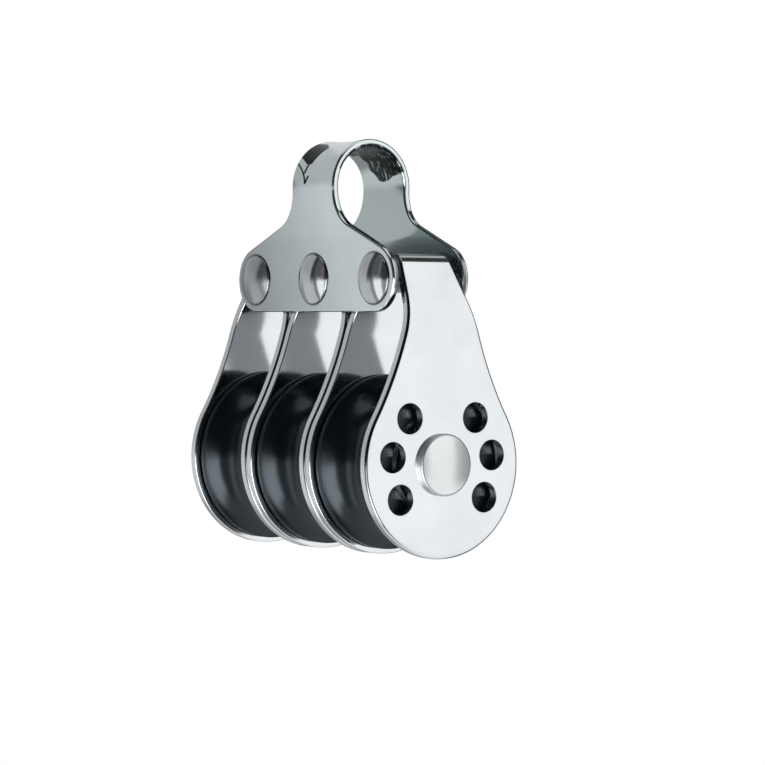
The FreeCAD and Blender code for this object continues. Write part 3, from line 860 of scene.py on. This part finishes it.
groove = sheave_half - rim_land
rope_round = (groove ** 2 + (sheave_radius - rope_root) ** 2) / (2 * (sheave_radius - rope_root))
rope_turn = math.degrees(math.asin(groove / rope_round))
bore_turn = math.degrees(math.asin((sheave_bore - ball_circle) / track))
recess_floor = sheave_half - relief_depth
bore_track = arc_points((-ball_row, ball_circle), track, bore_turn, 180 - bore_turn, 8)
rope_groove = arc_points((0, rope_root + rope_round), rope_round, 270 - rope_turn + 2.5, 270, 2.5)
half = half_section([(0, sheave_bore, 0)] + [(x, y, 0) for x, y in bore_track] + [
    (-sheave_half, sheave_bore, 0.1),
    (-sheave_half, relief_inner, 0.08),
    (-recess_floor, relief_inner + relief_depth, 0.1),
    (-recess_floor, relief_outer - relief_depth, 0.1),
    (-sheave_half, relief_outer, 0.08),
    (-sheave_half, sheave_radius, rim_round),
    (-groove, sheave_radius, 0.12)] + [(x, y, 0) for x, y in rope_groove])

sheave_plastic, tree, shader = new_material("sheave_plastic")
shader.inputs["Specular Tint"].default_value = (0.86, 1.0, 1.12, 1)
spot = object_place(tree)
out = from_axle(tree)
speckle = noise(tree, spot, 2600.0, 3.0)
cloud = noise(tree, spot, 230.0, 4.0)
turn_marks = {"X": reckon(tree, "MULTIPLY", out, 9000.0), "Y": cloud}
turn_marks = noise(tree, add(tree, "ShaderNodeCombineXYZ", turn_marks).outputs[0], 1.0, 2.0)
rope_worn = spread(tree, out, 0.0102, 0.0090)
edge = add(tree, "ShaderNodeAttribute", attribute_name="edge").outputs["Fac"]
colour = mix_colour(tree, cloud, (0.0020, 0.0058, 0.0072, 1), (0.0042, 0.0096, 0.0125, 1))
colour = mix_colour(tree, reckon(tree, "MULTIPLY", edge, 0.3), colour, (0.010, 0.014, 0.018, 1))
colour = mix_colour(tree, reckon(tree, "MULTIPLY", rope_worn, 0.35), colour, (0.007, 0.011, 0.014, 1))
roughness = reckon(tree, "MULTIPLY_ADD", rope_worn, -0.03, spread(tree, cloud, 0.3, 0.7, 0.18, 0.25))
roughness = reckon(tree, "MULTIPLY_ADD", edge, 0.15, roughness)
roughness = reckon(tree, "MULTIPLY_ADD", speckle, 0.06, roughness)
normal = bump(tree, speckle, 0.000001, bump(tree, turn_marks, 0.0000015))
give_finish(tree, shader, colour, roughness, normal)

made = turned_mesh("sheave", half, sheave_plastic, True)
for name, place in places.items():
    new_piece(name + "_sheave", made, at(place, -eye_to_axle), name + "_sheave")

# Studio: the block hangs clear of a pale round floor, inside a white tent. What the polished steel shows
# is the tent's white panel on the right, its grey walls behind, the dark opening round the camera and
# the low bright cards in front, which also light the sheaves' grooves.

floor_radius = 0.36
floor_height = -0.10
floor_mesh = bpy.data.meshes.new("floor")
bm = bmesh.new()
bmesh.ops.create_circle(bm, cap_ends=True, segments=96, radius=floor_radius)
bmesh.ops.translate(bm, vec=(0, 0, floor_height), verts=bm.verts)
bm.to_mesh(floor_mesh)
bm.free()
floor_object = bpy.data.objects.new("floor", floor_mesh)
bpy.context.scene.collection.objects.link(floor_object)
floor_paper, tree, shader = new_material("floor_paper")
shader.inputs["Base Color"].default_value = (0.9, 0.9, 0.9, 1)
shader.inputs["Roughness"].default_value = 0.8
seen = add(tree, "ShaderNodeLightPath").outputs
white = add(tree, "ShaderNodeEmission", {"Color": (1, 1, 1, 1), "Strength": 1.0}).outputs[0]
clear = add(tree, "ShaderNodeBsdfTransparent").outputs[0]
paper = add(tree, "ShaderNodeMixShader", {0: seen["Is Glossy Ray"], 1: shader.outputs[0], 2: clear})
paper = add(tree, "ShaderNodeMixShader", {0: seen["Is Camera Ray"], 1: paper.outputs[0], 2: white})
tree.links.new(paper.outputs[0], tree.nodes["Material Output"].inputs["Surface"])
floor_mesh.materials.append(floor_paper)

tent = bpy.data.worlds.new("tent")
bpy.context.scene.world = tent
tent.use_nodes = True
tree = tent.node_tree
opening_bearing = 40.0
to_degrees = 180 / math.pi
direction = add(tree, "ShaderNodeTexCoord").outputs["Generated"]
direction = add(tree, "ShaderNodeSeparateXYZ", {0: direction}).outputs
bearing = reckon(tree, "MULTIPLY", reckon(tree, "ARCTAN2", direction["Y"], direction["X"]), to_degrees)
bearing = reckon(tree, "FLOORED_MODULO", reckon(tree, "ADD", bearing, opening_bearing), 360.0)
elevation = reckon(tree, "MULTIPLY", reckon(tree, "ARCSINE", direction["Z"]), to_degrees)
ramp = add(tree, "ShaderNodeValToRGB", {0: reckon(tree, "DIVIDE", bearing, 360.0)})

# The tent's wall: a bearing from the dark opening at the camera, anticlockwise seen from above, and how
# bright the wall is there.
wall = [
    (0, 0.03), (44, 0.04), (56, 0.22), (63, 0.45), (67, 1.00), (80, 1.00), (83, 0.60), (88, 0.38), (96, 0.34),
    (101, 0.08), (120, 0.04), (172, 0.05), (181, 0.22), (184, 0.27), (188, 0.30), (198, 0.46), (220, 0.60),
    (250, 0.60), (261, 0.60), (264, 0.06), (275, 0.06), (278, 0.20), (284, 0.34), (293, 0.30), (299, 0.06),
    (330, 0.03)]
stops = ramp.color_ramp.elements
for number, (angle, level) in enumerate(wall):
    stop = stops[number] if number in (0, 1) else stops.new(angle / 360)
    stop.position = angle / 360
    stop.color = (level, level * 1.005, level * 1.015, 1)

# Panels over the wall: bearing from and to, height from and to, softness in degrees, and brightness.
# First come the dark ring under the roof, the roof and the ground, and last the low cards in front.
panels = [
    (-400, 400, 42, 66, 8, 0.04),
    (-400, 400, 66, 200, 8, 0.90),
    (-400, 400, -200, -48, 14, 0.80),
    (60, 101, 10, 54, 6, 0.99),
    (60, 101, -60, -10, 6, 0.99),
    (148, 171, 38, 54, 6, 0.45),
    (182, 216, 7, 30, 5, 0.68),
    (216, 262, 6, 36, 10, 0.50),
    (276, 293, 4, 36, 5, 0.13),
    (200, 240, -60, -2, 14, 0.34),
    (236, 274, -60, -2, 14, 0.72),
    (281, 301, -60, -1, 7, 1.38),
    (301, 336, -60, -3, 7, 0.40),
    (335, 420, -46, -3, 8, 4.8),
    (-60, 20, -46, -3, 8, 4.8),
]
colour = ramp.outputs[0]
for start, end, low_side, high_side, soft, level in panels:
    share = 1.0
    sides = ((bearing, start, 1), (bearing, end, -1), (elevation, low_side, 1), (elevation, high_side, -1))
    for value, limit, sign in sides:
        half_soft = sign * soft / 2
        inside = add(tree, "ShaderNodeMapRange", {0: value, 1: limit - half_soft, 2: limit + half_soft},
                     interpolation_type="SMOOTHSTEP").outputs[0]
        share = reckon(tree, "MULTIPLY", share, inside)
    colour = mix_colour(tree, share, colour, (level, level, level, 1))
seen = add(tree, "ShaderNodeLightPath").outputs["Is Camera Ray"]
colour = mix_colour(tree, seen, colour, (1, 1, 1, 1))
tree.links.new(colour, tree.nodes["Background"].inputs["Color"])

# Camera: almost level with the block, well back, a little in front of its right cheek. Its long lens
# keeps the three shells nearly the same size.

azimuth = math.radians(54.415)
camera_up = math.radians(1.078)
roll = math.radians(0.143)
camera_distance = 0.41990
shift_right = 0.004134
shift_up = 0.009912
level_out = math.cos(camera_up)
back = Vector((math.sin(azimuth) * level_out, -math.cos(azimuth) * level_out, math.sin(camera_up)))
right = Vector((math.cos(azimuth), math.sin(azimuth), 0))
up = back.cross(right)
place = Vector((0, 0, -eye_to_axle * MM)) + back * camera_distance + right * shift_right + up * shift_up
camera_data = bpy.data.cameras.new("camera")
camera_data.lens = 152.98
camera_data.sensor_width = 36
camera_data.clip_start = 0.01
camera_data.clip_end = 10
camera = bpy.data.objects.new("camera", camera_data)
bpy.context.scene.collection.objects.link(camera)
rolled_right = right * math.cos(roll) + up * math.sin(roll)
rolled_up = up * math.cos(roll) - right * math.sin(roll)
facing = Matrix((rolled_right, rolled_up, back)).transposed()
camera.matrix_world = Matrix.Translation(place) @ facing.to_4x4()
bpy.context.scene.camera = camera
bpy.context.scene.view_settings.view_transform = "Standard"
